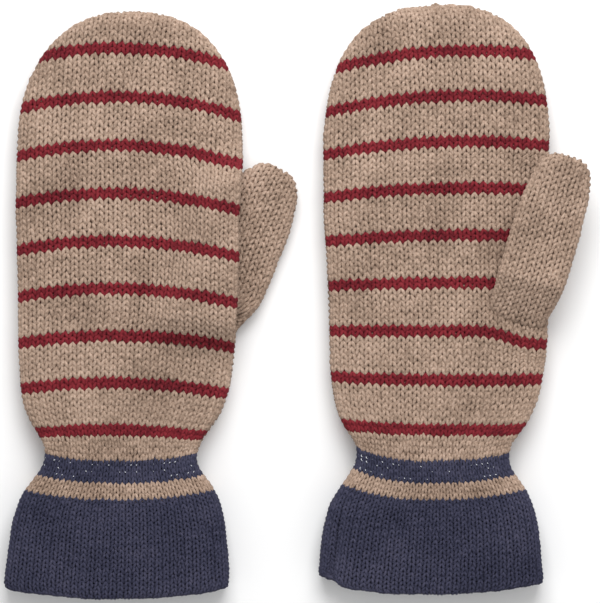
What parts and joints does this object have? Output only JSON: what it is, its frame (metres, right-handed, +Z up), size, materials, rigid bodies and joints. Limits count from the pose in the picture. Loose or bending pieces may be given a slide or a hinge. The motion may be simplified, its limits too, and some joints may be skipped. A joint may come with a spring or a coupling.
{
  "type": "knitted mittens",
  "caption": "Pair of striped knitted mittens with a gathered elastic wrist and a flared folded cuff, laid flat, one back up and one palm up.",
  "frame": {"origin": "centre of the pair's bounding box on the surface that both mittens lie on", "axes": "+Z up, +Y from the cuffs towards the fingertips, +X from the left mitten to the right one"},
  "size_m": [0.2681, 0.2726, 0.0257],
  "materials": {
    "sand_wool": "matt stockinette knit in a marled sand yarn",
    "burgundy_wool": "matt stockinette knit in burgundy yarn",
    "navy_wool": "matt fine knit in dark navy yarn",
    "seam_thread": "linked seam in sand yarn",
    "clear_elastic": "clear glossy elastic thread"
  },
  "bodies": {
    "left_hand": {"left_back_sand": "sand_wool", "left_back_stripes": "burgundy_wool", "left_palm_sand": "sand_wool", "left_palm_stripes": "burgundy_wool", "left_side_seams": "seam_thread", "left_wrist_gather": "sand_wool", "left_thumb_root": "sand_wool"},
    "left_fingers": {"left_finger_back_sand": "sand_wool", "left_finger_back_stripes": "burgundy_wool", "left_finger_palm_sand": "sand_wool", "left_finger_palm_stripes": "burgundy_wool", "left_tip_seam": "seam_thread"},
    "left_thumb": {"left_thumb": "sand_wool"},
    "left_cuff": {"left_wrist_band": "navy_wool", "left_elastic_threads": "clear_elastic", "left_cuff_stripe": "sand_wool", "left_cuff_outer": "navy_wool", "left_cuff_hem": "navy_wool", "left_cuff_facing": "navy_wool"},
    "right_hand": {"right_back_sand": "sand_wool", "right_back_stripes": "burgundy_wool", "right_palm_sand": "sand_wool", "right_palm_stripes": "burgundy_wool", "right_side_seams": "seam_thread", "right_wrist_gather": "sand_wool", "right_thumb_root": "sand_wool"},
    "right_fingers": {"right_finger_back_sand": "sand_wool", "right_finger_back_stripes": "burgundy_wool", "right_finger_palm_sand": "sand_wool", "right_finger_palm_stripes": "burgundy_wool", "right_tip_seam": "seam_thread"},
    "right_thumb": {"right_thumb": "sand_wool"},
    "right_cuff": {"right_wrist_band": "navy_wool", "right_elastic_threads": "clear_elastic", "right_cuff_stripe": "sand_wool", "right_cuff_outer": "navy_wool", "right_cuff_hem": "navy_wool", "right_cuff_facing": "navy_wool"}
  },
  "joints": [
    {"name": "left_finger_fold", "type": "hinge", "parent": "left_hand", "child": "left_fingers", "pos_m": [-0.0774, 0.0746, 0.0166], "axis": [1, 0, 0], "range_deg": [0, 75]},
    {"name": "left_wrist_bend", "type": "hinge", "parent": "left_hand", "child": "left_cuff", "pos_m": [-0.0816, -0.0726, 0.0171], "axis": [-1, 0, 0], "range_deg": [0, 60]},
    {"name": "left_thumb_spread", "type": "hinge", "parent": "left_hand", "child": "left_thumb", "pos_m": [-0.01644, 0.00067, 0.005], "axis": [0, 0, -1], "range_deg": [0, 8]},
    {"name": "mittens_apart", "type": "slide", "parent": "left_hand", "child": "right_hand", "axis": [1, 0, 0], "range_m": [0, 0.15]},
    {"name": "right_finger_fold", "type": "hinge", "parent": "right_hand", "child": "right_fingers", "pos_m": [0.0631, 0.0762, 0.0152], "axis": [1, 0, 0], "range_deg": [0, 75]},
    {"name": "right_wrist_bend", "type": "hinge", "parent": "right_hand", "child": "right_cuff", "pos_m": [0.061, -0.0726, 0.0171], "axis": [-1, 0, 0], "range_deg": [0, 60]},
    {"name": "right_thumb_spread", "type": "hinge", "parent": "right_hand", "child": "right_thumb", "pos_m": [0.12034, 0.00493, 0.0204], "axis": [0, 0, -1], "range_deg": [0, 25]}
  ]
}
